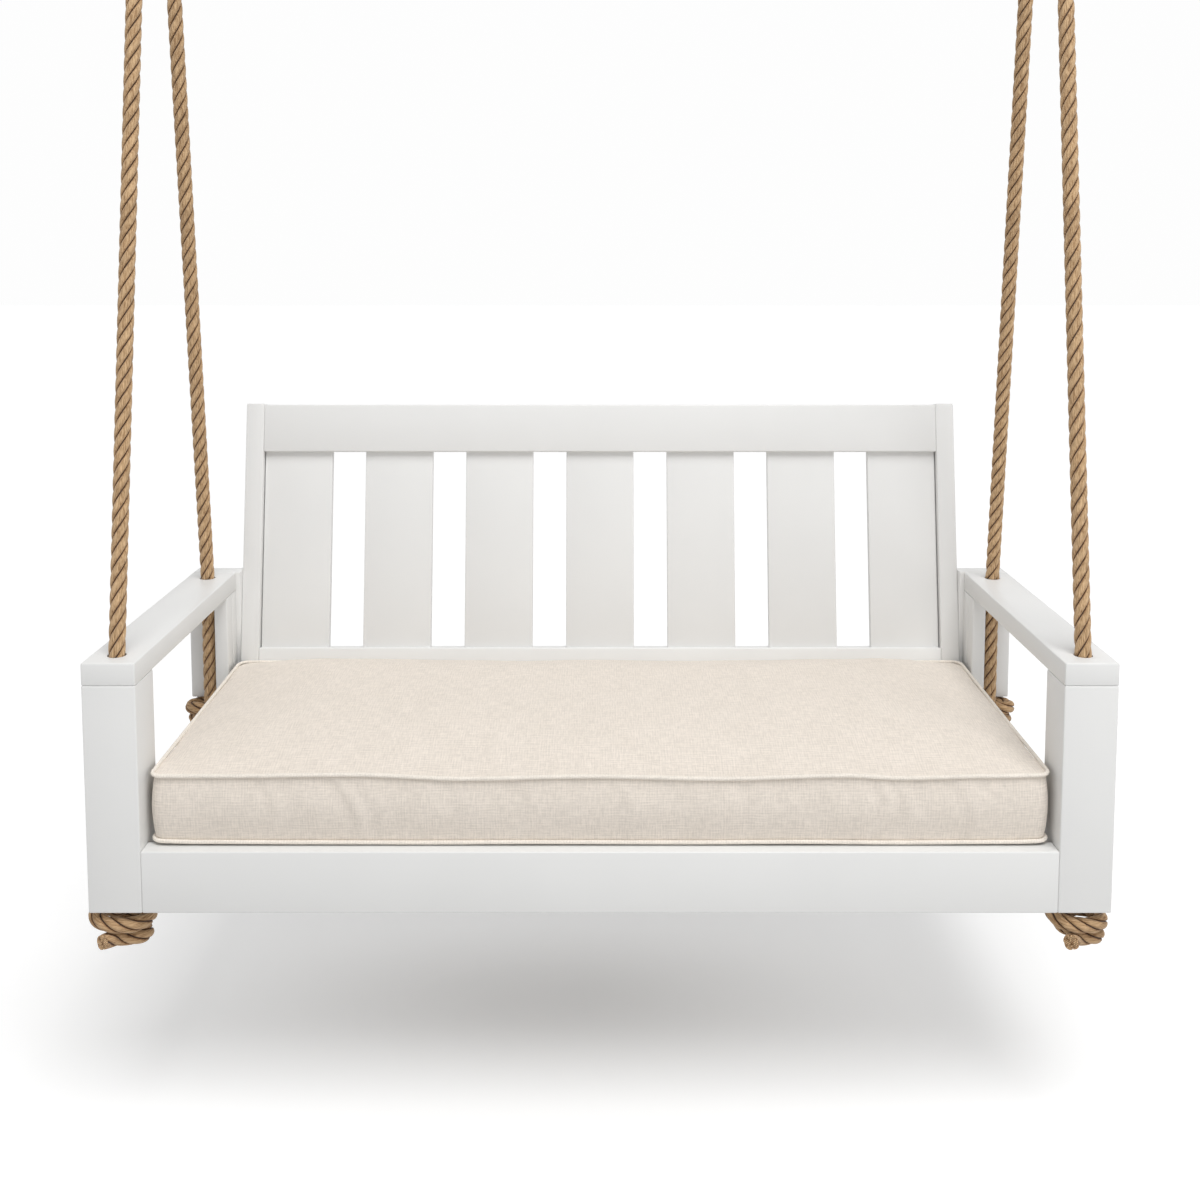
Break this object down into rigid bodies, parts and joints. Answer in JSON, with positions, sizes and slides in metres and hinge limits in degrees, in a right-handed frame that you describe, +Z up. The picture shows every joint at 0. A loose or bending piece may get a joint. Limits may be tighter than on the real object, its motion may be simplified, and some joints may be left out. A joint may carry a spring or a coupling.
{
  "type": "hanging swing bed",
  "caption": "Hanging swing bed: a white timber bench with flat arms, a slatted reclined back and a boxed seat cushion, hung from ceiling hooks by thick twisted ropes.",
  "frame": {"origin": "on the ceiling plane, at the centre between the four hooks, where the swing bed hangs from", "axes": "+Z up, the bed's front faces -Y, +X to the right as seen from the front"},
  "size_m": [1.7256, 0.7619, 1.9735],
  "materials": {
    "paint": "satin",
    "pine": "matte",
    "rope": "matte",
    "linen": "matte",
    "piping": "matte",
    "foam": "matte",
    "steel": "satin"
  },
  "bodies": {
    "ceiling_hooks": {"hook_front_left": "steel", "hook_front_right": "steel", "hook_rear_left": "steel", "hook_rear_right": "steel"},
    "front_ropes": {"rope_front_left": "rope", "rope_eye_front_left": "rope", "thimble_front_left": "steel", "rope_front_right": "rope", "rope_eye_front_right": "rope", "thimble_front_right": "steel"},
    "rear_ropes": {"rope_rear_left": "rope", "rope_eye_rear_left": "rope", "thimble_rear_left": "steel", "rope_rear_right": "rope", "rope_eye_rear_right": "rope", "thimble_rear_right": "steel"},
    "cushion": {"cushion_cover": "linen", "cushion_core": "foam", "cushion_piping": "piping", "cushion_zip": "piping"},
    "zip_slider": {"zip_slider": "steel"},
    "bed": {"rope_lower_front_left": "rope", "bottom_knot_front_left": "rope", "rope_lower_front_right": "rope", "bottom_knot_front_right": "rope", "rope_lower_rear_left": "rope", "bottom_knot_rear_left": "rope", "rope_lower_rear_right": "rope", "bottom_knot_rear_right": "rope", "arm_left": "paint", "front_post_left": "paint", "rear_post_left": "paint", "rope_guard_left": "paint", "corner_board_left": "paint", "side_beam_left": "paint", "back_stile_left": "paint", "arm_right": "paint", "front_post_right": "paint", "rear_post_right": "paint", "rope_guard_right": "paint", "corner_board_right": "paint", "side_beam_right": "paint", "back_stile_right": "paint", "front_rail": "paint", "rear_rail": "paint", "seat_ledgers": "pine", "seat_slats": "paint", "back_top_rail": "paint", "back_bottom_rail": "paint", "back_slat_1": "paint", "back_slat_2": "paint", "back_slat_3": "paint", "back_slat_4": "paint", "back_slat_5": "paint", "back_slat_6": "paint", "back_slat_7": "paint", "arm_dowels": "pine", "rail_bolts": "steel", "corner_screws": "steel", "deck_screws": "steel"}
  },
  "joints": [
    {"name": "front_swing", "type": "hinge", "parent": "ceiling_hooks", "child": "front_ropes", "pos_m": [0, -0.07873, -0.078], "axis": [1, 0, 0], "range_deg": [-10, 10]},
    {"name": "bed_level", "type": "hinge", "parent": "front_ropes", "child": "bed", "pos_m": [0, -0.25825, -1.4244], "axis": [1, 0, 0], "range_deg": [-3.2, 3.2]},
    {"name": "rear_swing", "type": "hinge", "parent": "bed", "child": "rear_ropes", "pos_m": [0, 0.25825, -1.4244], "axis": [1, 0, 0], "range_deg": [-3.2, 3.2]},
    {"name": "cushion_lift", "type": "slide", "parent": "bed", "child": "cushion", "axis": [0, 0, 1], "range_m": [0, 0.35]},
    {"name": "zip_slide", "type": "slide", "parent": "cushion", "child": "zip_slider", "axis": [1, 0, 0], "range_m": [0, 1.17]}
  ],
  "couplings": [
    {"joint": "bed_level", "follows": "front_swing", "ratio": -0.30486},
    {"joint": "rear_swing", "follows": "front_swing", "ratio": 0.30486}
  ]
}
